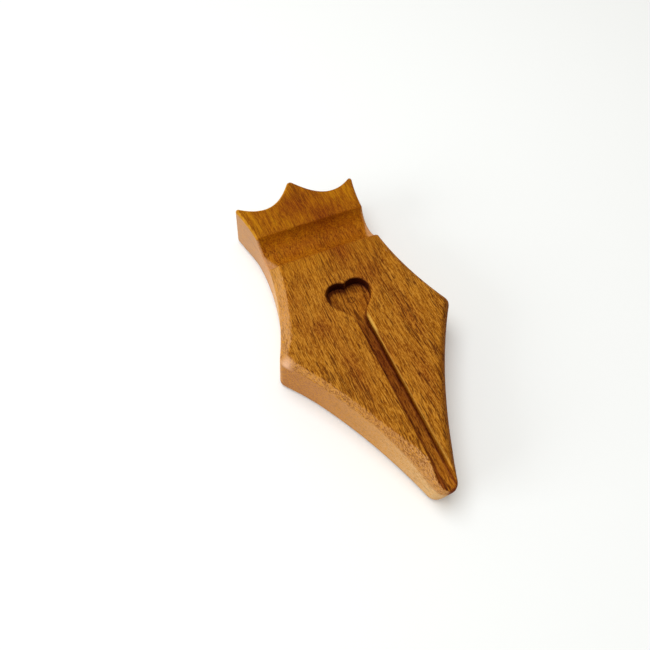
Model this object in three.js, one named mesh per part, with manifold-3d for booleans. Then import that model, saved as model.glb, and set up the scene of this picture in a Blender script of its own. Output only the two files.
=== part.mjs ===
// A desk pen rest carved from one block of hardwood in the shape of a fountain-pen nib.
//
// The block lies flat. Its narrow nose points along -Y and its three-pointed crown along +Y. A round
// rest groove runs across the neck, and a heart-shaped breather hole with a straight slit to the nose
// is carved into the upper face. Five felt discs, glued into shallow seats, carry it underneath.
//
// Millimetres, +Z up. The origin is the middle of the base of the whole rest, on the desk.

import * as THREE from 'three';
import { mergeVertices } from 'three/addons/utils/BufferGeometryUtils.js';
import Module from 'manifold-3d';

const wasm = await Module();
wasm.setup();

// Overall sizes
const NOSE_Y = -90;
const CROWN_TIP_Y = 91.55;
const PAD_PROUD = 0.8;
const BLOCK_THICKNESS = 22.5;
const UNDERSIDE_Z = PAD_PROUD;
const TOP_Z = UNDERSIDE_Z + BLOCK_THICKNESS;

// Plan outline, right half: the sharp corners between the curves, and how each corner is rounded
const NOSE_CORNER = [3.2, NOSE_Y];
const SHOULDER = [42.3, -9.4];
const CROWN_HORN = [33.4, 84.2];
const CROWN_TIP = [0, CROWN_TIP_Y];
const NOSE_ROUND = 2.5;
const SHOULDER_ROUND = 4.4;
const HORN_ROUND = 1.2;
const TIP_ROUND = 2.0;

// How far each curve leans: the two inner control points between its corners
const BLADE_CONTROLS = [[9.9, -66.2], [22.1, -37.6]];
const NECK_CONTROLS = [[31.2, 15.5], [23.0, 49.4]];
const SCALLOP_CONTROLS = [[16.8, 69.2], [8.1, 79.7]];
const CURVE_STEPS = 14;
const ROUND_STEPS = 5;
const SEARCH_ROUNDS = 5;
const SEARCH_STEPS = 20;
const SEARCH_REACH = 0.25;

// The upper edge is sanded over: broadly on the blade, finely on the crown
const BLADE_EDGE = { inward: 2.4, down: 3.6, steps: 4 };
const CROWN_EDGE = { inward: 1.0, down: 1.1, steps: 2 };
const TRIM_MARGIN = 1;
const TRIM_REACH = 200;
const HALVES_OVERLAP = 3;

// The front of the nose leans back under itself
const NOSE_LEAN = 3.7;
const NOSE_LEAN_HEIGHT = 17;
const NOSE_CUT_WIDTH = 26;

// Towards the nose the sanded edge grows into a broad bevel: how far it reaches inward and down ahead
// of the nose, and where it ends, as a share of the blade's curve
const BEVEL_START = { share: -0.05, inward: 4.2, down: 7.2 };
const BEVEL_END = { share: 0.42, inward: 1.2, down: 1.8 };
const BEVEL_STEPS = 20;
const BEVEL_CLEARANCE = 5;
const TANGENT_STEP = 0.001;

// Rest groove across the neck
const GROOVE_Y = 49.4;
const GROOVE_WIDTH = 20.2;
const GROOVE_DEPTH = 7.4;
const GROOVE_SIDES = 72;
const GROOVE_LENGTH = 120;

// Heart-shaped breather hole and the slit that runs from it to the nose
const CARVING_DEPTH = 5;
const SLIT_HALF_AT_HEART = 2.85;
const SLIT_HALF_AT_NOSE = 3.1;
const HEART_MOUTH_Y = -3.5;
const HEART_WAIST = [10.7, 11.5];
const HEART_CLEFT_Y = 17.1;
const HEART_LOWER_CONTROLS = [[2.9, 2.0], [10.7, 4.5]];
const HEART_UPPER_CONTROLS = [[10.7, 20.2], [2.2, 19.6]];
const HEART_STEPS = 12;

// Felt discs in their seats under the block
const PAD_RADIUS = 4;
const PAD_THICKNESS = 1.5;
const SEAT_CLEARANCE = 0.3;
const PAD_SIDES = 32;
const PADS = {
  felt_pad_nose: [0, -74],
  felt_pad_shoulder_left: [-30, -9],
  felt_pad_shoulder_right: [30, -9],
  felt_pad_crown_left: [-22, 70],
  felt_pad_crown_right: [22, 70],
};

const vector = ([x, y]) => new THREE.Vector2(x, y);

const mirrored = ([x, y]) => [-x, y];

function cubic(start, [first, second], end) {
  return new THREE.CubicBezierCurve(vector(start), vector(first), vector(second), vector(end));
}

// A closed mesh as a solid that can be joined and cut
function toSolid(geometry) {
  const bare = geometry.clone();
  bare.deleteAttribute('normal');
  bare.deleteAttribute('uv');
  const merged = mergeVertices(bare, 1e-4);
  return new wasm.Manifold(new wasm.Mesh({
    numProp: 3,
    vertProperties: new Float32Array(merged.attributes.position.array),
    triVerts: new Uint32Array(merged.index.array),
  }));
}

function toGeometry(solid) {
  const mesh = solid.getMesh();
  const geometry = new THREE.BufferGeometry();
  geometry.setAttribute('position', new THREE.BufferAttribute(mesh.vertProperties, mesh.numProp));
  geometry.setIndex(new THREE.BufferAttribute(mesh.triVerts, 1));
  geometry.computeVertexNormals();
  return geometry;
}

function boxSolid(low, high) {
  const size = high.map((value, i) => value - low[i]);
  const middle = high.map((value, i) => (value + low[i]) / 2);
  return toSolid(new THREE.BoxGeometry(...size).translate(...middle));
}

// The round corner between two curves of an anticlockwise outline. The middle of its arc lies one
// radius inside both curves, and a search that narrows round by round finds it
function roundCorner(before, after, radius) {
  const inset = (curve, t) => {
    const point = curve.getPoint(t);
    const along = curve.getTangent(t);
    return new THREE.Vector2(point.x - along.y * radius, point.y + along.x * radius);
  };
  let end = 1 - SEARCH_REACH;
  let start = SEARCH_REACH;
  let reach = SEARCH_REACH;
  for (let round = 0; round < SEARCH_ROUNDS; round += 1) {
    const count = 2 * SEARCH_STEPS + 1;
    const offsets = Array.from({ length: count }, (_, i) => reach * (i / SEARCH_STEPS - 1));
    const ends = offsets.map((offset) => THREE.MathUtils.clamp(end + offset, 0, 1));
    const starts = offsets.map((offset) => THREE.MathUtils.clamp(start + offset, 0, 1));
    const earlyCentres = starts.map((t) => inset(after, t));
    let least = Infinity;
    for (const late of ends) {
      const centre = inset(before, late);
      earlyCentres.forEach((other, i) => {
        const gap = centre.distanceTo(other);
        if (gap >= least) return;
        least = gap;
        end = late;
        start = starts[i];
      });
    }
    reach *= 2 / SEARCH_STEPS;
  }
  const middle = inset(before, end);
  const from = before.getPoint(end).sub(middle).angle();
  let turn = after.getPoint(start).sub(middle).angle() - from;
  if (turn < 0) turn += 2 * Math.PI;
  const arc = [];
  for (let i = 1; i < ROUND_STEPS; i += 1) {
    const angle = from + turn * (i / ROUND_STEPS);
    arc.push(new THREE.Vector2(Math.cos(angle), Math.sin(angle)).multiplyScalar(radius).add(middle));
  }
  return { end, start, arc };
}

// The outline seen from above: the front of the nose and three curves on each side, with a round
// corner after each
function blockOutline() {
  const sides = [
    { start: NOSE_CORNER, controls: BLADE_CONTROLS, end: SHOULDER, round: SHOULDER_ROUND },
    { start: SHOULDER, controls: NECK_CONTROLS, end: CROWN_HORN, round: HORN_ROUND },
    { start: CROWN_HORN, controls: SCALLOP_CONTROLS, end: CROWN_TIP, round: TIP_ROUND },
  ];
  const front = new THREE.LineCurve(vector(mirrored(NOSE_CORNER)), vector(NOSE_CORNER));
  const right = sides.map(({ start, controls, end }) => cubic(start, controls, end));
  const left = sides.map(({ start, controls, end }) => (
    cubic(mirrored(end), controls.map(mirrored).reverse(), mirrored(start))
  )).reverse();
  const curves = [front, ...right, ...left];
  const rightRounds = sides.map(({ round }) => round);
  const rounds = [NOSE_ROUND, ...rightRounds, ...rightRounds.slice(0, -1).reverse(), NOSE_ROUND];
  const corners = curves.map((curve, i) => (
    roundCorner(curve, curves[(i + 1) % curves.length], rounds[i])
  ));
  return curves.flatMap((curve, i) => {
    const { start } = corners[(i + curves.length - 1) % curves.length];
    const { end, arc } = corners[i];
    const steps = curve === front ? 1 : CURVE_STEPS;
    const shares = Array.from({ length: steps + 1 }, (_, k) => k / steps);
    return [...shares.map((share) => curve.getPoint(start + (end - start) * share)), ...arc];
  });
}

// The outline as a thick plate whose upper edge is rounded over
function plate(outline, edge) {
  const foot = UNDERSIDE_Z - TRIM_MARGIN;
  const geometry = new THREE.ExtrudeGeometry(new THREE.Shape(outline), {
    depth: TOP_Z - edge.down - foot,
    bevelSize: edge.inward,
    bevelOffset: -edge.inward,
    bevelThickness: edge.down,
    bevelSegments: edge.steps,
  });
  return toSolid(geometry.translate(0, 0, foot));
}

// Everything under the leaning front of the nose
function noseCut() {
  const base = UNDERSIDE_Z - 2 * TRIM_MARGIN;
  const slope = NOSE_LEAN / NOSE_LEAN_HEIGHT;
  const top = UNDERSIDE_Z + NOSE_LEAN_HEIGHT;
  const side = new THREE.Shape([
    new THREE.Vector2(NOSE_Y - TRIM_MARGIN, base),
    new THREE.Vector2(NOSE_Y + NOSE_LEAN + slope * (UNDERSIDE_Z - base), base),
    new THREE.Vector2(NOSE_Y - slope * TRIM_MARGIN, top + TRIM_MARGIN),
    new THREE.Vector2(NOSE_Y - TRIM_MARGIN, top + TRIM_MARGIN),
  ]);
  const geometry = new THREE.ExtrudeGeometry(side, { depth: NOSE_CUT_WIDTH, bevelEnabled: false });
  geometry.translate(0, 0, -NOSE_CUT_WIDTH / 2);
  geometry.rotateX(Math.PI / 2);
  geometry.rotateZ(Math.PI / 2);
  return toSolid(geometry);
}

// What the bevel on one prong of the nose takes away. The side is 1 on the right and -1 on the left
function prongBevel(side) {
  const curve = cubic(NOSE_CORNER, BLADE_CONTROLS, SHOULDER);
  const rings = Array.from({ length: BEVEL_STEPS + 1 }, (_, i) => {
    const between = (name) => THREE.MathUtils.lerp(BEVEL_START[name], BEVEL_END[name], i / BEVEL_STEPS);
    const [share, inward, down] = ['share', 'inward', 'down'].map(between);
    const edge = curve.getPoint(share);
    const along = curve.getPoint(share + TANGENT_STEP).sub(edge).normalize();
    const corners = [
      [-inward, 0],
      [0, -down],
      [BEVEL_CLEARANCE, -down],
      [BEVEL_CLEARANCE, BEVEL_CLEARANCE],
      [-inward, BEVEL_CLEARANCE],
    ];
    return corners.map(([outward, up]) => (
      [side * (edge.x + along.y * outward), edge.y - along.x * outward, TOP_Z + up]
    ));
  });
  const count = rings[0].length;
  const last = (rings.length - 1) * count;
  const triangles = [];
  for (let i = 1; i < count - 1; i += 1) {
    triangles.push([0, i, i + 1], [last, last + i + 1, last + i]);
  }
  for (let start = 0; start < last; start += count) {
    for (let i = 0; i < count; i += 1) {
      const a = start + i;
      const b = start + ((i + 1) % count);
      triangles.push([a, a + count, b], [b, a + count, b + count]);
    }
  }
  const geometry = new THREE.BufferGeometry();
  geometry.setAttribute('position', new THREE.Float32BufferAttribute(rings.flat(2), 3));
  geometry.setIndex(triangles.flatMap((triangle) => (side > 0 ? triangle : triangle.reverse())));
  return toSolid(geometry);
}

function restGroove() {
  const half = GROOVE_WIDTH / 2;
  const radius = (half * half + GROOVE_DEPTH * GROOVE_DEPTH) / (2 * GROOVE_DEPTH);
  const geometry = new THREE.CylinderGeometry(radius, radius, GROOVE_LENGTH, GROOVE_SIDES);
  geometry.rotateZ(Math.PI / 2);
  geometry.rotateX(Math.PI / GROOVE_SIDES);
  return toSolid(geometry.translate(0, GROOVE_Y, TOP_Z - GROOVE_DEPTH + radius));
}

// The heart and its slit, as one flat-bottomed recess
function heartAndSlit() {
  const mouth = [SLIT_HALF_AT_HEART, HEART_MOUTH_Y];
  const lower = cubic(mouth, HEART_LOWER_CONTROLS, HEART_WAIST).getPoints(HEART_STEPS);
  const upper = cubic(HEART_WAIST, HEART_UPPER_CONTROLS, [0, HEART_CLEFT_Y]).getPoints(HEART_STEPS);
  const right = [new THREE.Vector2(SLIT_HALF_AT_NOSE, NOSE_Y - TRIM_MARGIN), ...lower, ...upper.slice(1)];
  const left = right.slice(0, -1).reverse().map((point) => new THREE.Vector2(-point.x, point.y));
  const geometry = new THREE.ExtrudeGeometry(new THREE.Shape([...right, ...left]), {
    depth: CARVING_DEPTH + TRIM_MARGIN,
    bevelEnabled: false,
  });
  return toSolid(geometry.translate(0, 0, TOP_Z - CARVING_DEPTH));
}

// An upright disc with its lower face at z
function disc(radius, thickness, [x, y], z) {
  const geometry = new THREE.CylinderGeometry(radius, radius, thickness, PAD_SIDES);
  geometry.rotateX(Math.PI / 2);
  return geometry.translate(x, y, z + thickness / 2);
}

function padSeat(place) {
  const roof = PAD_THICKNESS + SEAT_CLEARANCE;
  return toSolid(disc(PAD_RADIUS + SEAT_CLEARANCE, roof + TRIM_MARGIN, place, -TRIM_MARGIN));
}

// Blade and crown have different upper edges, and meet under the groove, where no edge is left
function nibBlock() {
  const outline = blockOutline();
  const blade = plate(outline.filter((point) => point.y < GROOVE_Y + HALVES_OVERLAP), BLADE_EDGE);
  const crown = plate(outline.filter((point) => point.y > GROOVE_Y - HALVES_OVERLAP), CROWN_EDGE);
  const low = [-TRIM_REACH, -TRIM_REACH, -TRIM_REACH];
  const below = boxSolid(low, [TRIM_REACH, TRIM_REACH, UNDERSIDE_Z]);
  let block = blade.add(crown)
    .subtract(below)
    .subtract(noseCut())
    .subtract(prongBevel(1))
    .subtract(prongBevel(-1))
    .subtract(restGroove())
    .subtract(heartAndSlit());
  for (const place of Object.values(PADS)) block = block.subtract(padSeat(place));
  return toGeometry(block);
}

const WOOD = { name: 'oiled_wood', color: 0xa8642c, roughness: 0.5, metalness: 0 };
const FELT = { name: 'brown_felt', color: 0x3b2a20, roughness: 0.95, metalness: 0 };

const penRest = new THREE.Group();
penRest.name = 'pen_rest';

function addPiece(name, geometry, finish) {
  const piece = new THREE.Mesh(geometry, new THREE.MeshStandardMaterial(finish));
  piece.name = name;
  penRest.add(piece);
}

addPiece('nib_block', nibBlock(), WOOD);
for (const [name, place] of Object.entries(PADS)) {
  addPiece(name, disc(PAD_RADIUS, PAD_THICKNESS, place, 0), FELT);
}

export default penRest;
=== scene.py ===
"""A nib-shaped pen rest of oiled hardwood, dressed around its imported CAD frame.

The carved block is one fine mesh, made from a distance field that repeats the outline, the sanded
edges, the rest groove and the heart with its slit, all in millimetres. The felt discs under it are
modelled as cut and pressed felt. Every finish is procedural.
"""

import math
from itertools import product

import bpy
import numpy as np
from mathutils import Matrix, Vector, noise


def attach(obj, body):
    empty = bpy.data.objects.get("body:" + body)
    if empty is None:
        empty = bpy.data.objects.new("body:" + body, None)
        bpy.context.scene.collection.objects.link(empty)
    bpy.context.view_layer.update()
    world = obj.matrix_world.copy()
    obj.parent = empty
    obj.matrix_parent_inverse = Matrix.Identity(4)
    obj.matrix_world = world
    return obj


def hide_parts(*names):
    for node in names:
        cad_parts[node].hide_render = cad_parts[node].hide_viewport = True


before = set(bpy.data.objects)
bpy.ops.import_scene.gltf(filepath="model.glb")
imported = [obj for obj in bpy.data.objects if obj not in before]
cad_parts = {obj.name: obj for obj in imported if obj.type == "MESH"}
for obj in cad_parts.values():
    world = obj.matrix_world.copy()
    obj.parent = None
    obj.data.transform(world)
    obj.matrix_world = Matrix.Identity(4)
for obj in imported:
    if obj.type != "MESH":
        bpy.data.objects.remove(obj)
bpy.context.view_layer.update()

MM = 0.001

# Overall sizes of the block, in millimetres, as in the CAD source
NOSE_Y = -90
CROWN_TIP_Y = 91.55
UNDERSIDE_Z = 0.8
TOP_Z = 23.3

# Plan outline, right half: corners, the radius of each, and the control points of the curves between
NOSE_CORNER = (3.2, NOSE_Y)
SHOULDER = (42.3, -9.4)
CROWN_HORN_LEFT = (33.4, 84.2)
CROWN_HORN_RIGHT = (32.5, 82.7)
CROWN_TIP = (0, CROWN_TIP_Y)
NOSE_ROUND = 2.5
SHOULDER_ROUND = 4.4
HORN_ROUND = 1.2
TIP_ROUND = 2.0
BLADE_CONTROLS = ((9.9, -66.2), (22.1, -37.6))
NECK_CONTROLS = ((31.2, 15.5), (23.0, 49.4))
SCALLOP_CONTROLS = ((16.8, 69.2), (8.1, 79.7))
CURVE_STEPS = 44
ROUND_STEPS = 10

# How far the hand-sanded upper edge reaches inward and down, left and right, along the block
EDGE_Y = (-88, -81, -73, -55, -14, -3, 45, 53)
LEFT_INWARD = (6.0, 5.8, 4.2, 2.3, 2.2, 4.8, 4.6, 1.0)
LEFT_DOWN = (9.5, 9.0, 6.0, 2.8, 2.4, 3.8, 3.8, 1.1)
LEFT_FLAT = (0.3, 0.4, 0.7, 1, 1, 1, 1, 0)
BEVEL_ROUND = 0.7
RIGHT_INWARD = (4.0, 3.8, 3.6, 3.6, 3.4, 3.4, 3.4, 1.0)
RIGHT_DOWN = (7.0, 5.5, 4.0, 3.6, 3.6, 3.6, 3.6, 1.1)
LOWER_EDGE = 1.0
# On this strip, either side of the centre line, the left half turns into the right half
MIDDLE_STRIP = 2

# The lower part of the crown's left side and of the left shoulder stands out a little
FLARE = 1.1
FLARE_Y = (58, 76)
FLARE_FROM_CENTRE = (10, 26)
SHOULDER_FLARE = 1.2
SHOULDER_FLARE_REACH = 9

# The front of the nose leans back under itself, and is rounded into its sides
NOSE_REACH = 4
NOSE_LEAN = 3.7
NOSE_LEAN_HEIGHT = 17
NOSE_FRONT_ROUND = 3.2

# Rest groove across the neck
GROOVE_Y = 49.4
GROOVE_WIDTH = 20.2
GROOVE_DEPTH = 7.4
GROOVE_RIM = 0.45

# Heart-shaped breather hole and the slit that runs from it to the nose
CARVING_DEPTH = 5
CARVING_FLOOR_Z = TOP_Z - CARVING_DEPTH
SLIT_HALF_AT_HEART = 2.85
SLIT_HALF_AT_NOSE = 3.1
HEART_MOUTH_Y = -3.5
HEART_WAIST = (10.7, 11.5)
HEART_CLEFT_Y = 17.1
HEART_MIDDLE_Y = 10.4
HEART_LOWER_CONTROLS = ((2.9, 2.0), (10.7, 4.5))
HEART_UPPER_CONTROLS = ((10.7, 20.2), (2.2, 19.6))
CARVING_RIM = 0.5
CARVING_FILLET = 0.7

# The slit's right rim is worn to a wider lip. Here and below, ahead is from the origin to the nose
LIP_RIM = 1.0
LIP_X = (1, 2)
LIP_RIM_AHEAD = (-1, 5)

# Felt discs, the seats that they are glued into, and the unevenness of their cut and faces
PAD_RADIUS = 4
PAD_THICKNESS = 1.5
PAD_SPOKES = 72
PAD_RINGS = 14
PAD_FIRST_RING = 2
PAD_RIM = 0.4
PAD_RIM_STEPS = 5
PAD_WALL_STEPS = 3
SEAT_CLEARANCE = 0.3
SEAT_RIM = 0.15
FUZZ = 0.05
# Lumps of the felt: how many to a millimetre, and how high
FELT_LUMPS = ((1.1, 1.0), (3.7, 0.6))
PADS = {
    "felt_pad_nose": (0, -74),
    "felt_pad_shoulder_left": (-30, -9),
    "felt_pad_shoulder_right": (30, -9),
    "felt_pad_crown_left": (-22, 70),
    "felt_pad_crown_right": (22, 70),
}

# How finely the block is meshed
MAP_STEP = 0.25
NET_STEP = 0.6
NET_MARGIN = 1.5
SETTLE_ROUNDS = 8
SLOPE_REACH = 0.05
LEAST_SLOPE = 0.05
TINY = 1e-9

# Where the marks of the finish begin and end on the block, in millimetres
RECESS_BORDER = 0.8
CROWN_Y = (10, 66)
EDGE_FROM_RECESS = (0.1, 0.6)
FAR_EDGE_X = (0, 4)
FAR_EDGE_AHEAD = (3, 9)
SLIT_SHADE_Z = (TOP_Z - 3.6, TOP_Z - 2.6)
SLIT_SHADE_AHEAD = (0, 6)
SLIT_SHADE_Y = (-80, -40)
# Reach of the painted highlight on the slit's right lip
LIP_AHEAD = (0, 4)
LIP_Z = (TOP_Z - 1.5, TOP_Z - 0.9)
LIP_FROM_RECESS = (0.15, 0.45)
LIP_WIDEST_Y = -8
LIP_WIDEST_REACH = 5
LIP_WIDER = 0.6
# The cut end of the nose: darker end grain together with painted shade
END_GRAIN_AND_SHADE_Y = -87.95
END_GRAIN_AND_SHADE_BORDER = 0.25
END_GRAIN_AND_SHADE_X = (-2.2, -1.6)
END_GRAIN_AND_SHADE_Z = (18.6, 19.2)
FAR_WALL_Y = (0, 6)
FOOT_FROM_WALL = (-1.2, -0.4)
FOOT_NARROWER_ON_LEFT = 1.1
FOOT_CHANGES_X = (-0.5, 0.5)
FOOT_Z = (CARVING_FLOOR_Z + 0.5, CARVING_FLOOR_Z + 1.5)
RIM_SHADE_Z = (TOP_Z - 2.2, TOP_Z - 1.4)
RIM_SHADE_FROM_RECESS = (0.15, 0.5)
HEART_SHADE_FROM_WALL = (-6, -0.5)
HEART_SHADE_FROM_MIDDLE = (-3, 5)
# Painted highlight on the corner of the left shoulder
CORNER_GLINT_PLACE = (-40.6, -12)
CORNER_GLINT_REACH = 2.6
CORNER_GLINT_Z = (TOP_Z - 6, TOP_Z - 3.5)

# The same for the marks on the sanded edge, in sizes of the edge itself
EDGE_FROM_SIDE = (-1.3, -0.7)
EDGE_FROM_TOP = (-1.25, -0.85)
FAR_EDGE_FROM_SIDE = (-1.1, -0.4)

# Which way a mark lies or its surface faces, and how far the surface turns that way
END_GRAIN_AND_SHADE_SLANT = 0.235
UPRIGHT = (0.2, 0.8)
FAR_WALL_TURN = 0.55
FAR_WALL_FACES = (0.1, 0.8)
RIM_SHADE_TOWARDS = (0.8, 0.6)
RIM_SHADE_FACES = (0.1, 0.5)
HEART_SHADE_TOWARDS = (-0.35, 0.94)

# The strength of a mark's fainter part
LIP_FAINTEST = 0.55
RIM_SHADE_STRENGTH = 0.8
RIGHT_EDGE_STRENGTH = 0.2

# Darker heartwood that shows through the carved face: where, how far across and along, how dark
DARK_PATCHES = (
    (7, 37, 7, 8, 1.0),
    (13, 19, 7, 9, 0.8),
    (-26, 13, 5, 10, 0.5),
    (-19, -2, 8, 7, 0.5),
    (20, -8.5, 3.5, 12, 0.6),
    (13, -40, 4, 14, 0.6),
    (-14, -30, 3.5, 16, 0.6),
    (-2.5, 73, 9, 8, 0.9),
    (9, 62, 12, 7, 1.0),
    (1, -24, 5, 9, 0.7),
)

# Colours of the wood
WOOD_GOLD = (0.405, 0.140, 0.004)
WOOD_LIGHT = (0.56, 0.235, 0.024)
WOOD_BROWN = (0.26, 0.078, 0.002)
WOOD_RED = (0.22, 0.048, 0.003)
CROWN_BROWN = (0.25, 0.066, 0.001)
CROWN_GOLD = (0.60, 0.28, 0.012)
FIBRE_BROWN = (0.17, 0.042, 0.001)
PORE_BROWN = (0.080, 0.016, 0.002)
# Paler sanded wood together with painted highlight
SANDED_PALE_AND_HIGHLIGHT = (0.66, 0.345, 0.140)
# Painted highlight on the corner of the left shoulder
CORNER_GLINT = (0.88, 0.52, 0.32)
# Painted highlight on the slit's right lip
LIP_HIGHLIGHT_GOLD = (0.76, 0.42, 0.075)
# Darker end grain together with painted shade
END_GRAIN_AND_SHADE = (0.13, 0.020, 0.004)

# Shades that darken the wood under them, most of them each on a mark of the same name. The crown's and
# the heartwood's are the wood's own tone; the far wall's and the marks' are painted shade
CROWN_SHADE = (0.96, 0.86, 0.15)
HEARTWOOD_SHADE = (0.76, 0.58, 0.36)
FAR_WALL_SHADE = (0.18, 0.09, 0.09)
MARK_SHADES = {
    "carved": (0.96, 0.86, 0.72),
    "slit": (0.68, 0.55, 0.50),
    "far_edge": (0.58, 0.49, 0.26),
    "recess_foot": (0.48, 0.32, 0.34),
    "heart_shade": (0.52, 0.45, 0.40),
}

# The sides' colour along the block, by the share of the way from the nose to the crown: paler side
# grain together with painted light, lighter or darker along the block as the light falls on it
SIDE_Y = (-92, 92)
SIDE_STOPS = (
    (0.02, (0.88, 0.61, 0.31)),
    (0.20, (0.66, 0.36, 0.145)),
    (0.36, (0.47, 0.21, 0.086)),
    (0.44, (0.40, 0.165, 0.068)),
    (0.48, (0.86, 0.53, 0.25)),
    (0.62, (0.90, 0.60, 0.32)),
    (0.74, (0.72, 0.40, 0.22)),
    (0.84, (0.53, 0.312, 0.185)),
)
ABOVE_SHOULDER = (0.43, 0.52)
AT_NOSE = (0.20, 0.06)

# How the grain bends: how far, and the noise that bends it, given as in the next list
GRAIN_BENDS = (
    (12.0, ((60, 140, 60), 1.0, 0.5, 1.3)),
    (1.6, ((9, 16, 9), 1.0, 0.5, 4.9)),
)

# Noise in the wood: size across, along the grain and upward, then detail, roughness and seed
NOISE_MIDDLE = 0.5
WOOD_NOISE = {
    "layers": ((4, 60, 6), 2.0, 0.55, 2.1),
    "mottle": ((7, 13, 7), 3.0, 0.6, 5.7),
    "glow": ((2.4, 16, 2.4), 2.0, 0.6, 9.4),
    "crowd": ((9, 30, 9), 1.0, 0.5, 8.2),
    "streaks": ((0.55, 16, 0.55), 2.0, 0.65, 4.4),
    "fibres": ((0.38, 7, 0.38), 2.0, 0.75, 3.4),
    "flecks": ((0.34, 1.3, 0.34), 1.0, 0.5, 7.7),
    "pores": ((0.46, 7, 0.46), 1.0, 0.5, 6.6),
    "jags": ((0.8, 3.0, 0.8), 2.0, 0.6, 5.1),
}

# Figures of the wood: the noise that each comes from, and the values between which it grows
WOOD_FIGURES = {
    "layers": ("layers", 0.38, 0.66),
    "patches": ("mottle", 0.48, 0.76),
    "mottle": ("mottle", 0.30, 0.60),
    "glow": ("glow", 0.46, 0.72),
    "crowd": ("crowd", 0.42, 0.66),
    "dark_fibres": ("fibres", 0.50, 0.62),
    "light_fibres": ("fibres", 0.51, 0.38),
    "light_flecks": ("flecks", 0.50, 0.70),
    "dark_flecks": ("flecks", 0.47, 0.28),
}
STREAKS_FROM = (0.50, 0.66)
STREAKS_CROWD = 0.06
PORES_FROM = (0.60, 0.66)
PORES_CROWD = 0.07
CROWN_GLOW_FROM = (0.2, 0.6)
SANDED_EDGE_FROM = (0.25, 0.75)
SANDED_EDGE_JAGS = 1.8
HEARTWOOD_LEAST = 0.5

# How much of each colour lies over what is under it
COVER = {
    "layers": 0.42,
    "glow": 0.4,
    "patches": 0.45,
    "heartwood": 0.85,
    "crown_brown": 0.36,
    "crown_gold": 0.35,
    "side": 0.85,
    "streaks": 0.45,
    "dark_fibres": 0.90,
    "light_fibres": 0.90,
    "light_flecks": 0.75,
    "dark_flecks": 0.60,
    "pores": 0.75,
    "worn_corner": 0.7,
    "heart_ring": 0.5,
    "worn_lip": 0.75,
    "end_grain": 0.9,
}
# Paler sanded wood and painted highlight on the sanded edge, stronger above the shoulder and at the
# nose
SANDED_AND_HIGHLIGHT_COVER = 0.54
SANDED_AND_HIGHLIGHT_COVER_ABOVE_SHOULDER = 0.22
SANDED_AND_HIGHLIGHT_COVER_AT_NOSE = 0.24

# How much fainter the grain is on the sides, towards the crown and on the sanded edge
SIDE_CALM = 0.7
CROWN_CALM = 0.45
EDGE_CALM = 0.15
EDGE_CALM_ABOVE_SHOULDER = 0.45
EDGE_THINS_PORES = 0.5

# The ring that the carving bit left on the heart's floor: its middle, and its inner and outer border
HEART_RING_PLACE = (1.2, HEART_MIDDLE_Y, 0)
HEART_RING_INNER = (0.9, 1.3)
HEART_RING_OUTER = (1.6, 2.0)

# Surface of the oiled wood
WOOD_ROUGHNESS = 0.50
FIBRE_ROUGHNESS = 0.14
PORE_ROUGHNESS = 0.2
FIBRE_HEIGHT = 0.4
STREAK_DEPTH = 0.3
PORE_DEPTH = 0.8
WOOD_RELIEF = 0.12
WOOD_BUMP = 0.6
WOOD_IOR = 1.4
WOOD_GLOSS = 0.08

# Surface of the felt
FELT_DARK = (0.038, 0.022, 0.014)
FELT_LIGHT = (0.11, 0.07, 0.046)
FELT_TUFTS = ((0.5, 0.5, 0.5), 4.0, 0.7, 1.0)
FELT_TUFTS_FROM = (0.4, 0.7)
FELT_ROUGHNESS = 0.95
FELT_SHEEN = 0.3
FELT_RELIEF = 0.15
FELT_BUMP = 0.8

# The camera, at the photograph's viewing angle: its place and lens in millimetres, its clipping in
# metres, and its direction in degrees round from the front and upward
CAMERA_PLACE = (-79.42, -149.67, 267.96)
CAMERA_AZIMUTH = -22.689
CAMERA_ELEVATION = 56.601
CAMERA_LENS = 36
CAMERA_SENSOR = 36
CAMERA_CLIP = (0.01, 50)

# White floor, room light and lamps, in metres and in degrees round from the front and upward
FLOOR_HALF = 3.0
FLOOR_COLOUR = (0.90, 0.915, 0.93)
FLOOR_LIFT = 0.09
WHITE = (1, 1, 1)
ROOM_LIGHT = (0.42, 0.392, 0.342)
LAMP_SIZE = 0.8
LAMP_DISTANCE = 1.2
LAMPS = {
    "low_window": {"azimuth": -90, "elevation": 15, "power": 8.0, "colour": (0.91, 0.975, 1)},
    "overhead": {"azimuth": -135, "elevation": 76, "power": 8.7, "colour": (0.95, 0.985, 1)},
}


def bezier(start, controls, end, steps):
    """Points along a cubic curve from start to end."""
    points = np.array([start, *controls, end], float)
    t = np.linspace(0, 1, steps + 1)[:, None]
    weights = np.hstack([(1 - t) ** 3, 3 * t * (1 - t) ** 2, 3 * t**2 * (1 - t), t**3])
    return weights @ points


def mirrored(points):
    """The same points on the other side of the centre plane, in the opposite order."""
    return np.array(points, float)[::-1] * (-1, 1)


def inset(curve, radius):
    """A curve moved sideways by radius, towards the inside of an anticlockwise outline."""
    along = np.gradient(curve, axis=0)
    along /= np.linalg.norm(along, axis=1)[:, None]
    return curve + radius * np.column_stack([-along[:, 1], along[:, 0]])


def crossing(first, second):
    """Where two open polylines cross, counted in segments along each."""
    p, r = first[:-1, None], np.diff(first, axis=0)[:, None]
    q, s = second[None, :-1], np.diff(second, axis=0)[None]

    def turn(a, b):
        return a[..., 0] * b[..., 1] - a[..., 1] * b[..., 0]

    along_first = turn(q - p, s) / turn(r, s)
    along_second = turn(q - p, r) / turn(r, s)
    meets = (along_first >= 0) & (along_first < 1) & (along_second >= 0) & (along_second < 1)
    i, j = np.argwhere(meets)[0]
    return i + along_first[i, j], j + along_second[i, j]


def point_at(curve, place):
    """The point of a polyline at a place counted in segments."""
    before = int(place)
    return curve[before] + (place - before) * (curve[before + 1] - curve[before])


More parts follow.
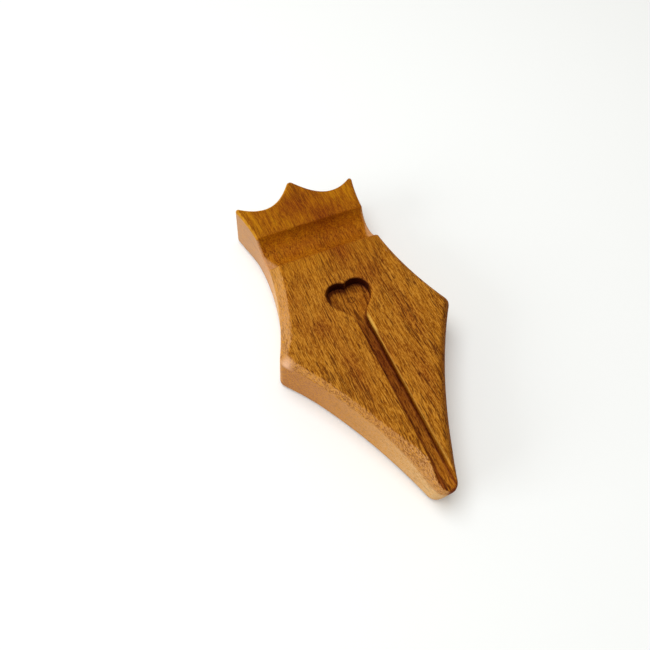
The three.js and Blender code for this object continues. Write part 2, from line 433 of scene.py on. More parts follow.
def block_outline():
    """The block seen from above, anticlockwise, with a round corner after each curve."""
    ahead = np.subtract(NOSE_CORNER, BLADE_CONTROLS[0])
    tip = NOSE_CORNER + ahead * NOSE_REACH / -ahead[1]
    front = np.linspace((-tip[0], tip[1]), tip, CURVE_STEPS + 1)
    extension = np.linspace(tip, NOSE_CORNER, NOSE_REACH, endpoint=False)
    blade = np.vstack([extension, bezier(NOSE_CORNER, BLADE_CONTROLS, SHOULDER, CURVE_STEPS)])

    def half(horn):
        neck = bezier(SHOULDER, NECK_CONTROLS, horn, CURVE_STEPS)
        return [blade, neck, bezier(horn, SCALLOP_CONTROLS, CROWN_TIP, CURVE_STEPS)]

    left = [mirrored(curve) for curve in reversed(half(CROWN_HORN_LEFT))]
    curves = [front, *half(CROWN_HORN_RIGHT), *left]
    side_rounds = [SHOULDER_ROUND, HORN_ROUND]
    rounds = [NOSE_ROUND / 2, *side_rounds, TIP_ROUND, *reversed(side_rounds), NOSE_ROUND / 2]
    starts, ends, arcs = {}, {}, {}
    for i, radius in enumerate(rounds):
        after = (i + 1) % len(curves)
        before_inset, after_inset = inset(curves[i], radius), inset(curves[after], radius)
        ends[i], starts[after] = crossing(before_inset, after_inset)
        middle = point_at(before_inset, ends[i])
        first = point_at(curves[i], ends[i]) - middle
        last = point_at(curves[after], starts[after]) - middle
        turn = math.atan2(first[0] * last[1] - first[1] * last[0], first @ last)
        angles = math.atan2(first[1], first[0]) + np.linspace(0, turn, ROUND_STEPS)
        arcs[i] = middle + radius * np.column_stack([np.cos(angles), np.sin(angles)])
    outline = []
    for i, curve in enumerate(curves):
        outline += list(curve[math.ceil(starts[i]) : math.floor(ends[i]) + 1])
        outline += list(arcs[i])
    return np.array(outline)


def carving_outline():
    """The heart and its slit seen from above, as one anticlockwise outline open past the nose."""
    mouth = (SLIT_HALF_AT_HEART, HEART_MOUTH_Y)
    right = np.vstack([
        [(SLIT_HALF_AT_NOSE, NOSE_Y - 2 * NET_MARGIN)],
        bezier(mouth, HEART_LOWER_CONTROLS, HEART_WAIST, CURVE_STEPS),
        bezier(HEART_WAIST, HEART_UPPER_CONTROLS, (0, HEART_CLEFT_Y), CURVE_STEPS)[1:],
    ])
    return np.vstack([right, mirrored(right)[1:]])


def plane_distance(outline, x, y):
    """Distance in the plane from points to a closed outline, negative inside it."""
    nearest = np.full(x.shape, np.inf)
    inside = np.zeros(x.shape, bool)
    for (ax, ay), (bx, by) in zip(outline, np.roll(outline, -1, axis=0)):
        ex, ey = bx - ax, by - ay
        share = np.clip(((x - ax) * ex + (y - ay) * ey) / (ex * ex + ey * ey), 0, 1)
        nearest = np.minimum(nearest, (x - ax - share * ex) ** 2 + (y - ay - share * ey) ** 2)
        if ay != by:
            inside ^= ((ay > y) != (by > y)) & (x < ex * (y - ay) / ey + ax)
    return np.where(inside, -1, 1) * np.sqrt(nearest)


class PlaneMap:
    """The distance to an outline, worked out once on a fine grid and read between its points."""

    def __init__(self, outline, low, high):
        self.low = np.array(low[:2], float)
        counts = np.ceil((np.array(high[:2]) - self.low) / MAP_STEP).astype(int) + 2
        x = self.low[0] + MAP_STEP * np.arange(counts[0])
        y = self.low[1] + MAP_STEP * np.arange(counts[1])
        self.values = plane_distance(outline, *np.meshgrid(x, y, indexing="ij"))

    def __call__(self, x, y):
        u, v = (x - self.low[0]) / MAP_STEP, (y - self.low[1]) / MAP_STEP
        i = np.clip(u.astype(int), 0, self.values.shape[0] - 2)
        j = np.clip(v.astype(int), 0, self.values.shape[1] - 2)
        s, t = u - i, v - j
        low = self.values[i, j] * (1 - s) + self.values[i + 1, j] * s
        high = self.values[i, j + 1] * (1 - s) + self.values[i + 1, j + 1] * s
        return low * (1 - t) + high * t


def meet(a, b, radius):
    """The part inside both of two fields, with their common edge rounded to a radius."""
    outer = np.hypot(np.maximum(a + radius, 0), np.maximum(b + radius, 0))
    return outer + np.minimum(np.maximum(a, b), -radius)


def sanded(side, top, inward, down, flat):
    """Inside both a side and a top, their edge sanded away, inward by down, to an oval or flat."""
    u, v = side / inward + 1, top / down + 1
    length = np.hypot(np.maximum(u, 0), np.maximum(v, 0))
    slope = np.hypot(np.maximum(u, 0) / inward, np.maximum(v, 0) / down)
    on_edge = (length - 1) * length / np.maximum(slope, TINY)
    sharp = np.maximum(side, top)
    oval = np.where((u > 0) & (v > 0), on_edge, sharp)
    bevel = (side / inward + top / down + 1) / np.hypot(1 / inward, 1 / down)
    return oval * (1 - flat) + meet(sharp, bevel, BEVEL_ROUND) * flat


def smooth_step(value, start, end):
    """0 before start, 1 after end, and a smooth rise between."""
    share = np.clip((value - start) / (end - start), 0, 1)
    return share * share * (3 - 2 * share)


def bell(distance, reach):
    """1 at no distance, and a smooth fall to either side of it."""
    return np.exp(-((distance / reach) ** 2))


def rightness(x):
    """0 on the left half of the block and 1 on the right."""
    return smooth_step(x, -MIDDLE_STRIP, MIDDLE_STRIP)


class Block:
    """The carved block as a field: negative inside the wood, zero on its surface, in millimetres."""

    def __init__(self):
        outline = block_outline()
        self.low = np.array([outline[:, 0].min(), NOSE_Y, UNDERSIDE_Z]) - NET_MARGIN
        self.high = np.array([*outline.max(axis=0), TOP_Z]) + NET_MARGIN
        self.outline = PlaneMap(outline, self.low, self.high)
        self.carving = PlaneMap(carving_outline(), self.low, self.high)
        half = GROOVE_WIDTH / 2
        self.groove_radius = (half * half + GROOVE_DEPTH * GROOVE_DEPTH) / (2 * GROOVE_DEPTH)
        self.groove_z = TOP_Z - GROOVE_DEPTH + self.groove_radius

    def edge_sizes(self, x, y):
        """How far the sanded upper edge reaches inward and down, and how flat it is."""
        right = rightness(x)
        left = 1 - right
        inward = np.interp(y, EDGE_Y, LEFT_INWARD) * left + np.interp(y, EDGE_Y, RIGHT_INWARD) * right
        down = np.interp(y, EDGE_Y, LEFT_DOWN) * left + np.interp(y, EDGE_Y, RIGHT_DOWN) * right
        return inward, down, np.interp(y, EDGE_Y, LEFT_FLAT) * left

    def nose_front(self, y, z):
        """Distance in front of the leaning face of the nose."""
        lean = math.hypot(NOSE_LEAN, NOSE_LEAN_HEIGHT)
        behind = NOSE_Y + NOSE_LEAN * (1 - (z - UNDERSIDE_Z) / NOSE_LEAN_HEIGHT) - y
        return behind * NOSE_LEAN_HEIGHT / lean

    def groove(self, y, z):
        """Distance outside the rest groove, negative in it."""
        return np.hypot(y - GROOVE_Y, z - self.groove_z) - self.groove_radius

    def recess(self, x, y, z):
        """Distance outside the heart and its slit, negative in them."""
        return meet(self.carving(x, y), CARVING_FLOOR_Z - z, CARVING_FILLET)

    def flared(self, x, y, z):
        """x as the outline sees it, where the left side stands out."""
        depth = (TOP_Z - z) / (TOP_Z - UNDERSIDE_Z)
        at_crown = FLARE * smooth_step(y, *FLARE_Y)
        at_shoulder = SHOULDER_FLARE * bell(y - SHOULDER[1], SHOULDER_FLARE_REACH)
        return x + (at_crown + at_shoulder) * depth * smooth_step(-x, *FLARE_FROM_CENTRE)

    def __call__(self, x, y, z):
        side = meet(self.outline(self.flared(x, y, z), y), self.nose_front(y, z), NOSE_FRONT_ROUND)
        field = sanded(side, z - TOP_Z, *self.edge_sizes(x, y))
        field = meet(field, UNDERSIDE_Z - z, LOWER_EDGE)
        field = meet(field, -self.groove(y, z), GROOVE_RIM)
        worn = smooth_step(x, *LIP_X) * smooth_step(-y, *LIP_RIM_AHEAD)
        field = meet(field, -self.recess(x, y, z), CARVING_RIM + (LIP_RIM - CARVING_RIM) * worn)
        for px, py in PADS.values():
            wall = np.hypot(x - px, y - py) - PAD_RADIUS - SEAT_CLEARANCE
            seat = np.maximum(wall, z - PAD_THICKNESS - SEAT_CLEARANCE)
            field = meet(field, -seat, SEAT_RIM)
        return field

    def slope(self, points):
        """The field's gradient at points."""
        columns = []
        for step in np.eye(3) * SLOPE_REACH:
            rise = self(*(points + step).T) - self(*(points - step).T)
            columns.append(rise / (2 * SLOPE_REACH))
        return np.column_stack(columns)

    def pulled(self, points):
        """Points moved along the slope of the field onto the surface."""
        slope = self.slope(points)
        steep = np.maximum((slope * slope).sum(axis=1), LEAST_SLOPE)
        return points - slope * (self(*points.T) / steep)[:, None]


def surface_net(field, low, high, step):
    """Points and four-sided faces of the surface where a field is zero, one point to a grid cell."""
    counts = np.ceil((high - low) / step).astype(int) + 1
    axes = [low[i] + step * np.arange(counts[i]) for i in range(3)]
    values = field(*np.meshgrid(*axes, indexing="ij"))
    inside = values < 0
    cells = tuple(counts - 1)
    total = np.zeros((*cells, 3))
    hits = np.zeros(cells)

    def part(array, offset):
        return array[tuple(slice(o, o + n) for o, n in zip(offset, cells))]

    for axis, (first, second) in product(range(3), product((0, 1), repeat=2)):
        start = np.insert([first, second], axis, 0)
        end = np.insert([first, second], axis, 1)
        near, far = part(values, start), part(values, end)
        crossed = part(inside, start) != part(inside, end)
        share = np.where(crossed, near / np.where(crossed, near - far, 1), 0)
        for k in range(3):
            total[..., k] += crossed * (share if k == axis else start[k])
        hits += crossed
    used = hits > 0
    number = np.full(cells, -1)
    number[used] = np.arange(used.sum())
    points = low + step * (np.argwhere(used) + total[used] / hits[used][:, None])

    faces = []
    for axis in range(3):
        others = [k for k in range(3) if k != axis]
        before = [slice(1, -1)] * 3
        before[axis] = slice(0, -1)
        after = list(before)
        after[axis] = slice(1, None)
        starts, ends = inside[tuple(before)], inside[tuple(after)]
        for leaving in (True, False):
            found = np.argwhere((starts != ends) & (starts == leaving)) + 1
            found[:, axis] -= 1
            around = []
            for first, second in ((-1, -1), (0, -1), (0, 0), (-1, 0)):
                cell = found.copy()
                cell[:, others[0]] += first
                cell[:, others[1]] += second
                around.append(number[tuple(cell.T)])
            turn = 1 if leaving == (axis != 1) else -1
            faces.append(np.column_stack(around[::turn]))
    return points, np.vstack(faces)


def settled(block, points, faces, rounds):
    """Points spread evenly over the surface: each goes towards its neighbours, then back onto it."""
    pairs = np.vstack([faces[:, [i, (i + 1) % 4]] for i in range(4)])
    pairs = np.unique(np.sort(pairs, axis=1), axis=0)
    both = np.vstack([pairs, pairs[:, ::-1]])
    neighbours = np.bincount(both[:, 0], minlength=len(points))[:, None]
    for _ in range(rounds):
        total = np.column_stack([
            np.bincount(both[:, 0], points[both[:, 1], k], minlength=len(points)) for k in range(3)
        ])
        points = block.pulled((points + total / neighbours) / 2)
    return block.pulled(points)


def new_piece(name, points, faces, replaces):
    """A smooth mesh, given in millimetres, that stands for a CAD node and rides on the root body."""
    mesh = bpy.data.meshes.new(name)
    mesh.from_pydata((np.asarray(points) * MM).tolist(), [], faces)
    mesh.polygons.foreach_set("use_smooth", [True] * len(mesh.polygons))
    mesh.update()
    piece = bpy.data.objects.new(name, mesh)
    bpy.context.scene.collection.objects.link(piece)
    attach(piece, "root")
    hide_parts(replaces)
    return piece


class Marks:
    """Where each part of the wood's finish, its painted shade and highlights among them, lies: a
    number from 0 to 1 for every point of the block.
    """

    def __init__(self, block, points):
        self.block = block
        self.x, self.y, self.z = points.T
        self.slope_x, self.slope_y, self.slope_z = block.slope(points).T
        self.outside_recess = block.recess(self.x, self.y, self.z)
        self.from_wall = block.carving(self.x, self.y)
        self.in_recess = 1 - smooth_step(self.outside_recess, 0, RECESS_BORDER)
        inward, down, _ = block.edge_sizes(self.x, self.y)
        self.from_side = block.outline(self.x, self.y) / inward
        self.raised = smooth_step((self.z - TOP_Z) / down, *EDGE_FROM_TOP)
        clear_of_recess = smooth_step(self.outside_recess, *EDGE_FROM_RECESS)
        self.near_side = smooth_step(self.from_side, *EDGE_FROM_SIDE) * clear_of_recess

    def carved(self):
        """In the heart, the slit or the rest groove, all painted a little darker as shade."""
        in_groove = 1 - smooth_step(self.block.groove(self.y, self.z), 0, RECESS_BORDER)
        return np.maximum(self.in_recess, in_groove)

    def slit(self):
        """Painted shade low in the slit, between the heart and the nose."""
        low_down = 1 - smooth_step(self.z, *SLIT_SHADE_Z)
        between = smooth_step(-self.y, *SLIT_SHADE_AHEAD) * smooth_step(self.y, *SLIT_SHADE_Y)
        return self.in_recess * low_down * between

    def worn_lip(self):
        """Painted highlight on the worn rim of the slit's right side, widest just ahead of the heart.
        """
        widest = bell(self.y - LIP_WIDEST_Y, LIP_WIDEST_REACH)
        wider = LIP_WIDER * widest
        lip = smooth_step(self.x, *LIP_X) * smooth_step(-self.y, *LIP_AHEAD)
        lip = lip * (LIP_FAINTEST + (1 - LIP_FAINTEST) * widest)
        lip = lip * smooth_step(self.z + wider, *LIP_Z)
        return lip * (1 - smooth_step(self.outside_recess - wider, *LIP_FROM_RECESS))

    def crown(self):
        """More and more from the heart to the crown."""
        return smooth_step(self.y, *CROWN_Y)

    def dark_heartwood(self):
        """On the patches of darker heartwood."""
        light = np.ones(len(self.x))
        for patch_x, patch_y, across, along, strength in DARK_PATCHES:
            reach = ((self.x - patch_x) / across) ** 2 + ((self.y - patch_y) / along) ** 2
            light *= 1 - strength * np.exp(-reach)
        return 1 - light

    def sanded_edge(self):
        """On the sanded upper edge, mostly the left one: paler sanded wood together with painted
        highlight where the edge faces the light.
        """
        strength = 1 - (1 - RIGHT_EDGE_STRENGTH) * rightness(self.x)
        return self.near_side * self.raised * strength

    def side_face(self):
        """On the sides, under the sanded edge."""
        above_lower_edge = smooth_step(self.z, UNDERSIDE_Z, UNDERSIDE_Z + LOWER_EDGE)
        return self.near_side * (1 - self.raised) * above_lower_edge

    def end_grain(self):
        """On the cut end of the nose, right of the slit's left wall: darker end grain together with
        painted shade on the face that leans back.
        """
        front_y = END_GRAIN_AND_SHADE_Y + END_GRAIN_AND_SHADE_SLANT * (self.x - SLIT_HALF_AT_NOSE)
        front = smooth_step(front_y - self.y, 0, END_GRAIN_AND_SHADE_BORDER)
        return front * smooth_step(self.x, *END_GRAIN_AND_SHADE_X) * (1 - smooth_step(self.z, *END_GRAIN_AND_SHADE_Z))

    def far_wall(self):
        """Painted shade on the heart's wall that is farthest from the nose."""
        upright = 1 - smooth_step(np.abs(self.slope_z), *UPRIGHT)
        away = -self.slope_y - FAR_WALL_TURN * self.slope_x
        faces_nose = smooth_step(away, *FAR_WALL_FACES) * smooth_step(self.y, *FAR_WALL_Y)
        return self.in_recess * upright * faces_nose

    def recess_foot(self):
        """Painted shade along the foot of the recess walls, and fainter painted shade on the rims that
        face the far right.
        """
        left = 1 - smooth_step(self.x, *FOOT_CHANGES_X)
        foot = smooth_step(self.from_wall + FOOT_NARROWER_ON_LEFT * left, *FOOT_FROM_WALL)
        foot = foot * (1 - smooth_step(self.z, *FOOT_Z)) * self.in_recess
        towards_x, towards_y = RIM_SHADE_TOWARDS
        rim = smooth_step(towards_x * self.slope_x + towards_y * self.slope_y, *RIM_SHADE_FACES)
        rim = rim * smooth_step(self.z, *RIM_SHADE_Z)
        rim = rim * (1 - smooth_step(self.outside_recess, *RIM_SHADE_FROM_RECESS))
        return np.maximum(foot, RIM_SHADE_STRENGTH * rim)

    def heart_shade(self):
        """Painted shadow on the heart's floor, towards its far left end."""
        towards_x, towards_y = HEART_SHADE_TOWARDS
        from_middle = towards_y * (self.y - HEART_MIDDLE_Y) + towards_x * self.x
        shade = smooth_step(self.from_wall, *HEART_SHADE_FROM_WALL)
        return shade * smooth_step(from_middle, *HEART_SHADE_FROM_MIDDLE) * self.in_recess

    def far_edge(self):
        """Painted shade on the right edge of the blade, which faces away from the light."""
        edge = smooth_step(self.from_side, *FAR_EDGE_FROM_SIDE) * smooth_step(self.x, *FAR_EDGE_X)
        return edge * smooth_step(-self.y, *FAR_EDGE_AHEAD) * (1 - self.in_recess)

    def worn_corner(self):
        """Painted highlight on the corner of the left shoulder."""
        corner_x, corner_y = CORNER_GLINT_PLACE
        spot = bell(np.hypot(self.x - corner_x, self.y - corner_y), CORNER_GLINT_REACH)
        return spot * smooth_step(self.z, *CORNER_GLINT_Z) * self.near_side


def carved_block():
    """The wooden block, with the marks that its finish reads kept on its points."""
    block = Block()
    points, faces = surface_net(block, block.low, block.high, NET_STEP)
    points = settled(block, points, faces, SETTLE_ROUNDS)
    piece = new_piece("carved_nib_block", points, faces.tolist(), "nib_block")
    marks = Marks(block, points)
    kept = (
        marks.carved,
        marks.slit,
        marks.worn_lip,
        marks.crown,
        marks.dark_heartwood,
        marks.sanded_edge,
        marks.side_face,
        marks.end_grain,
        marks.far_wall,
        marks.recess_foot,
        marks.heart_shade,
        marks.far_edge,
        marks.worn_corner,
    )
    for mark in kept:
        values = piece.data.attributes.new(mark.__name__, "FLOAT", "POINT")
        values.data.foreach_set("value", mark().astype(np.float32))
    return piece


def disc_profile():
    """Radius and height of each ring of a disc, from the middle of its lower face to the upper."""
    face = [(PAD_RADIUS * ring / PAD_RINGS - PAD_RIM, 0) for ring in range(PAD_FIRST_RING, PAD_RINGS)]
    turns = [math.radians(90 * (i + 0.5) / PAD_RIM_STEPS) for i in range(PAD_RIM_STEPS)]
    rim = [(PAD_RADIUS - PAD_RIM * (1 - math.sin(a)), PAD_RIM * (1 - math.cos(a))) for a in turns]
    height = PAD_THICKNESS - 2 * PAD_RIM
    wall = [(PAD_RADIUS, PAD_RIM + height * i / PAD_WALL_STEPS) for i in range(PAD_WALL_STEPS + 1)]
    upper = [(r, PAD_THICKNESS - z) for r, z in reversed(face + rim)]
    return face + rim + wall + upper


def felt_disc(name, place):
    """A disc cut from pressed felt: soft rims and an uneven, slightly fuzzy face."""
    profile = disc_profile()
    points = [(*place, 0)]
    for r, z in profile:
        for k in range(PAD_SPOKES):
            angle = 2 * math.pi * k / PAD_SPOKES
            points.append((place[0] + r * math.cos(angle), place[1] + r * math.sin(angle), z))
    points.append((*place, PAD_THICKNESS))

    middle = Vector((*place, PAD_THICKNESS / 2))
    pressed = []
    for point in points:
        spot = Vector(point)
        lumps = sum(height * noise.noise(spot * rate) for rate, height in FELT_LUMPS)
        x, y, z = spot + (middle - spot).normalized() * FUZZ * (1 + lumps)
        pressed.append((x, y, max(z, 0)))

    faces = []
    rings = len(profile)
    top = 1 + (rings - 1) * PAD_SPOKES
    for k in range(PAD_SPOKES):
        after = (k + 1) % PAD_SPOKES
        faces.append((0, 1 + after, 1 + k))
        for ring in range(rings - 1):
            a, b = 1 + ring * PAD_SPOKES, 1 + (ring + 1) * PAD_SPOKES
            faces.append((a + k, a + after, b + after, b + k))
        faces.append((top + k, top + after, len(points) - 1))
    return new_piece(f"{name}_cut", pressed, faces, name)


class Signal:
    """A socket that takes part in arithmetic: an expression on it adds the Math nodes."""

    def __init__(self, finish, socket):
        self.finish = finish
        self.socket = socket

    def _maths(self, operation, *values):
        sockets = dict(enumerate(values))
        return self.finish.node("ShaderNodeMath", {"operation": operation}, sockets)

    def __add__(self, other):
        return self._maths("ADD", self, other)

    def __radd__(self, other):
        return self._maths("ADD", other, self)

    def __sub__(self, other):
        return self._maths("SUBTRACT", self, other)

    def __rsub__(self, other):
        return self._maths("SUBTRACT", other, self)

    def __mul__(self, other):
        return self._maths("MULTIPLY", self, other)

    def __rmul__(self, other):
        return self._maths("MULTIPLY", other, self)

    def grown(self, low, high, rise="SMOOTHSTEP"):
        """The value brought from low..high to 0..1, smoothly or as told, and held there outside."""
        sockets = {"Value": self, "From Min": low, "From Max": high}
        return self.finish.node("ShaderNodeMapRange", {"interpolation_type": rise}, sockets)


class Finish:
    """A material, or the world, in the making."""

    def __init__(self, owner):
        self.owner = owner
        owner.use_nodes = True
        self.tree = owner.node_tree
        self.tree.nodes.clear()

    def node(self, kind, settings=None, sockets=None, output=0):
        """Adds a node: its settings come first, then the values or links of its sockets."""
        made = self.tree.nodes.new(kind)
        for name, value in (settings or {}).items():
            if name == "stops":
                ramp = made.color_ramp.elements
                while len(ramp) < len(value):
                    ramp.new(1)
                for stop, (place, colour) in zip(ramp, value):
                    stop.position = place
                    stop.color = (*colour, 1)
            else:
                setattr(made, name, value)
        for name, value in (sockets or {}).items():
            socket = made.inputs[name]
            if isinstance(value, Signal):
                self.tree.links.new(value.socket, socket)
            else:
                socket.default_value = value
        return Signal(self, made.outputs[output])

    def vectors(self, operation, sockets, output=0):
        """One step of arithmetic on vectors."""
        return self.node("ShaderNodeVectorMath", {"operation": operation}, sockets, output)

    def place(self):
        """Where a point of the piece is, in millimetres."""
        metres = self.node("ShaderNodeTexCoord", output="Object")
        return self.vectors("SCALE", {0: metres, "Scale": 1 / MM})

    def cloud(self, place, size, detail, rough, seed, output=0):
        """Soft noise with bumps of a size that is given for each axis, in millimetres."""
        counted = self.vectors("MULTIPLY", {0: place, 1: [1 / length for length in size]})
        settings = {"noise_dimensions": "4D"}
        sockets = {"Vector": counted, "W": seed, "Scale": 1.0, "Detail": detail, "Roughness": rough}
        return self.node("ShaderNodeTexNoise", settings, sockets, output)

    def mixed(self, first, second, factor, blend="MIX"):
        """A colour between two colours."""
        first, second = (c if isinstance(c, Signal) else (*c, 1) for c in (first, second))
        settings = {"data_type": "RGBA", "blend_type": blend}
        return self.node("ShaderNodeMix", settings, {0: factor, 6: first, 7: second}, 2)

    def mark(self, name):
        """A mark that is kept on the piece."""
        return self.node("ShaderNodeAttribute", {"attribute_name": name}, output="Fac")

    def bump(self, height, strength, distance):
        """A surface normal that follows a height."""
        sockets = {"Height": height, "Strength": strength, "Distance": distance}
        return self.node("ShaderNodeBump", None, sockets)

    def seen(self):
        """1 for what the eye sees, straight or by way of gloss or glass, and 0 for other light."""
        outputs = ("Is Camera Ray", "Is Glossy Ray", "Is Transmission Ray")
        camera, glossy, through = (self.node("ShaderNodeLightPath", output=name) for name in outputs)
        return camera + glossy + through

    def ended(self, shader, end="ShaderNodeOutputMaterial"):
        """Ends the nodes with their shader."""
        self.tree.links.new(shader.socket, self.tree.nodes.new(end).inputs["Surface"])
        return self.owner


def bent_grain(wood, place):
    """A place as the grain sees it, bent so that no fibre runs quite straight."""
    grain = place
    for reach, row in GRAIN_BENDS:
        bend = wood.vectors("SCALE", {0: wood.cloud(place, *row, "Color"), "Scale": reach})
        grain = wood.vectors("ADD", {0: grain, 1: bend})
    return grain


def heart_ring(wood, place):
    """The ring that the carving bit left on the heart's floor."""
    plan = wood.vectors("MULTIPLY", {0: place, 1: (1, 1, 0)})
    away = wood.vectors("DISTANCE", {0: plan, 1: HEART_RING_PLACE}, "Value")
    return away.grown(*HEART_RING_INNER) * (1 - away.grown(*HEART_RING_OUTER)) * wood.mark("carved")


def oiled_hardwood():
    """Golden-brown straight-grained hardwood with fine dark pores, oiled to a satin, with painted
    shade and highlights in its colour.
    """
    wood = Finish(bpy.data.materials.new("oiled_hardwood"))
    place = wood.place()
    grain = bent_grain(wood, place)
    raw = {name: wood.cloud(grain, *row) for name, row in WOOD_NOISE.items()}
    figure = {name: raw[source].grown(low, high) for name, (source, low, high) in WOOD_FIGURES.items()}

    crown = wood.mark("crown")
    on_side = wood.mark("side_face")
    on_top = 1 - on_side
    on_edge = wood.mark("sanded_edge") + SANDED_EDGE_JAGS * (raw["jags"] - NOISE_MIDDLE)
    on_edge = on_edge.grown(*SANDED_EDGE_FROM)
    along = wood.node("ShaderNodeSeparateXYZ", None, {"Vector": place}, "Y").grown(*SIDE_Y, "LINEAR")
    above_shoulder = along.grown(*ABOVE_SHOULDER)
    at_nose = along.grown(*AT_NOSE)
    side_tone_and_light = wood.node("ShaderNodeValToRGB", {"stops": SIDE_STOPS}, {"Fac": along})

    calm = 1 - CROWN_CALM * crown
    quiet = (1 - SIDE_CALM * on_side) * calm
    thinned = 1 - EDGE_THINS_PORES * on_edge
    grainy = quiet * (1 - (EDGE_CALM + EDGE_CALM_ABOVE_SHOULDER * above_shoulder) * on_edge)
    heartwood = HEARTWOOD_LEAST + (1 - HEARTWOOD_LEAST) * figure["mottle"]
    heartwood = wood.mark("dark_heartwood") * heartwood
    streaks = (raw["streaks"] + STREAKS_CROWD * figure["crowd"]).grown(*STREAKS_FROM)
    pores = (raw["pores"] + PORES_CROWD * figure["crowd"]).grown(*PORES_FROM) * quiet * thinned
    crown_glow = crown * figure["glow"].grown(*CROWN_GLOW_FROM) * (1 - heartwood)
    sanded_and_highlight_cover = SANDED_AND_HIGHLIGHT_COVER + SANDED_AND_HIGHLIGHT_COVER_ABOVE_SHOULDER * above_shoulder
    sanded_and_highlight_cover = sanded_and_highlight_cover + SANDED_AND_HIGHLIGHT_COVER_AT_NOSE * at_nose

    colour = WOOD_GOLD
    for coat, cover in (
        (WOOD_BROWN, COVER["layers"] * figure["layers"]),
        (WOOD_LIGHT, COVER["glow"] * figure["glow"]),
        (WOOD_RED, COVER["patches"] * figure["patches"]),
        (WOOD_RED, COVER["heartwood"] * heartwood),
        (CROWN_BROWN, COVER["crown_brown"] * crown),
        (CROWN_GOLD, COVER["crown_gold"] * crown_glow),
        # The sides: paler grain together with painted light along the block
        (side_tone_and_light, COVER["side"] * on_side),
        # The sanded edge: paler sanded wood together with painted highlight
        (SANDED_PALE_AND_HIGHLIGHT, sanded_and_highlight_cover * on_edge),
        (FIBRE_BROWN, COVER["streaks"] * streaks * grainy),
        (FIBRE_BROWN, COVER["dark_fibres"] * figure["dark_fibres"] * grainy),
        (WOOD_LIGHT, COVER["light_fibres"] * figure["light_fibres"] * calm),
        (WOOD_LIGHT, COVER["light_flecks"] * figure["light_flecks"] * thinned * calm),
        (FIBRE_BROWN, COVER["dark_flecks"] * figure["dark_flecks"] * grainy),
        (PORE_BROWN, COVER["pores"] * pores),
        # Painted highlight on the corner of the left shoulder
        (CORNER_GLINT, COVER["worn_corner"] * wood.mark("worn_corner")),
        (PORE_BROWN, COVER["heart_ring"] * heart_ring(wood, place)),
    ):
        colour = wood.mixed(colour, coat, cover)
    colour = wood.mixed(colour, CROWN_SHADE, crown * on_top, "MULTIPLY")
    colour = wood.mixed(colour, HEARTWOOD_SHADE, heartwood * on_top, "MULTIPLY")
    # Painted shade: in the recesses, low in the slit, on the right edge of the blade, at the feet of
    # the recess walls and on the heart's floor
    for name, shade in MARK_SHADES.items():
        colour = wood.mixed(colour, shade, wood.mark(name), "MULTIPLY")
    # Painted highlight along the slit's right lip
    colour = wood.mixed(colour, LIP_HIGHLIGHT_GOLD, COVER["worn_lip"] * wood.mark("worn_lip"))
    # Painted shade on the heart's far wall
    colour = wood.mixed(colour, FAR_WALL_SHADE, wood.mark("far_wall"), "MULTIPLY")
    # Darker end grain together with painted shade on the cut end of the nose
    colour = wood.mixed(colour, END_GRAIN_AND_SHADE, COVER["end_grain"] * wood.mark("end_grain"))

    height = FIBRE_HEIGHT * raw["fibres"] - STREAK_DEPTH * streaks - PORE_DEPTH * pores
    shader = wood.node("ShaderNodeBsdfPrincipled", None, {
        "Base Color": colour,
        "Roughness": WOOD_ROUGHNESS + FIBRE_ROUGHNESS * raw["fibres"] + PORE_ROUGHNESS * pores,
        "IOR": WOOD_IOR,
        "Specular IOR Level": WOOD_GLOSS,
        "Normal": wood.bump(height, WOOD_BUMP, WOOD_RELIEF * MM),
    })
    return wood.ended(shader)


def pressed_felt():
    """Matt dark-brown wool felt with loose fibres."""
    felt = Finish(bpy.data.materials.new("pressed_felt"))
    tufts = felt.cloud(felt.place(), *FELT_TUFTS)
    shader = felt.node("ShaderNodeBsdfPrincipled", None, {
        "Base Color": felt.mixed(FELT_DARK, FELT_LIGHT, tufts.grown(*FELT_TUFTS_FROM)),
        "Roughness": FELT_ROUGHNESS,
        "Sheen Weight": FELT_SHEEN,
        "Normal": felt.bump(tufts, FELT_BUMP, FELT_RELIEF * MM),
    })
    return felt.ended(shader)


def direction(azimuth, elevation):
    """The way out from the object, by degrees round from its front and degrees upward."""
    around, up = math.radians(azimuth), math.radians(elevation)
    return Vector((math.sin(around) * math.cos(up), -math.cos(around) * math.cos(up), math.sin(up)))


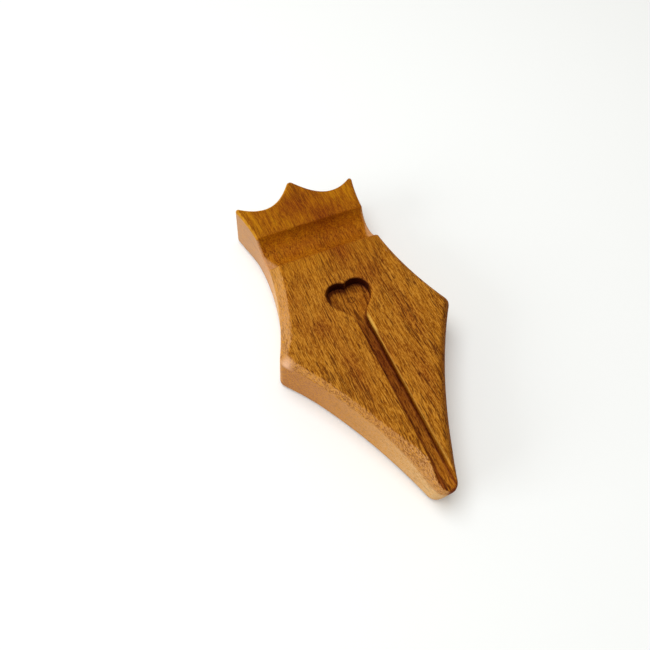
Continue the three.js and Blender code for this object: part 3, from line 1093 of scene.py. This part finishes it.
def aimed(name, data, location, outward):
    """A camera or a lamp in its place, looking against a direction."""
    thing = bpy.data.objects.new(name, data)
    bpy.context.scene.collection.objects.link(thing)
    thing.location = location
    thing.rotation_mode = "QUATERNION"
    thing.rotation_quaternion = (-outward).to_track_quat("-Z", "Y")
    return thing


def add_camera():
    """The camera that takes the photograph's view."""
    data = bpy.data.cameras.new("photo_camera")
    data.lens = CAMERA_LENS
    data.sensor_width = CAMERA_SENSOR
    data.clip_start, data.clip_end = CAMERA_CLIP
    outward = direction(CAMERA_AZIMUTH, CAMERA_ELEVATION)
    bpy.context.scene.camera = aimed("photo_camera", data, Vector(CAMERA_PLACE) * MM, outward)


def add_floor():
    """A plain white floor that keeps the object's shadow."""
    mesh = bpy.data.meshes.new("floor")
    corners = [(x * FLOOR_HALF, y * FLOOR_HALF, 0) for x, y in ((-1, -1), (1, -1), (1, 1), (-1, 1))]
    mesh.from_pydata(corners, [], [(0, 1, 2, 3)])
    floor = bpy.data.objects.new("floor", mesh)
    bpy.context.scene.collection.objects.link(floor)
    paper = Finish(bpy.data.materials.new("white_floor"))
    matt = paper.node("ShaderNodeBsdfDiffuse", None, {"Color": (*FLOOR_COLOUR, 1)})
    lift = {"Color": (*WHITE, 1), "Strength": paper.seen() * FLOOR_LIFT}
    glow = paper.node("ShaderNodeEmission", None, lift)
    mesh.materials.append(paper.ended(paper.node("ShaderNodeAddShader", None, {0: matt, 1: glow})))


def add_lights():
    """A soft room, white where it is seen, with a low window and a light overhead."""
    room = bpy.data.worlds.new("studio")
    studio = Finish(room)
    light = {"Color": studio.mixed(ROOM_LIGHT, WHITE, studio.seen()), "Strength": 1.0}
    studio.ended(studio.node("ShaderNodeBackground", None, light), "ShaderNodeOutputWorld")
    bpy.context.scene.world = room
    for name, lamp in LAMPS.items():
        data = bpy.data.lights.new(name, "AREA")
        data.size = LAMP_SIZE
        data.energy = lamp["power"]
        data.color = lamp["colour"]
        outward = direction(lamp["azimuth"], lamp["elevation"])
        aimed(name, data, outward * LAMP_DISTANCE, outward)


add_camera()
carved_block().data.materials.append(oiled_hardwood())
felt = pressed_felt()
for name, place in PADS.items():
    felt_disc(name, place).data.materials.append(felt)
add_floor()
add_lights()

bpy.context.scene.view_settings.view_transform = "Standard"
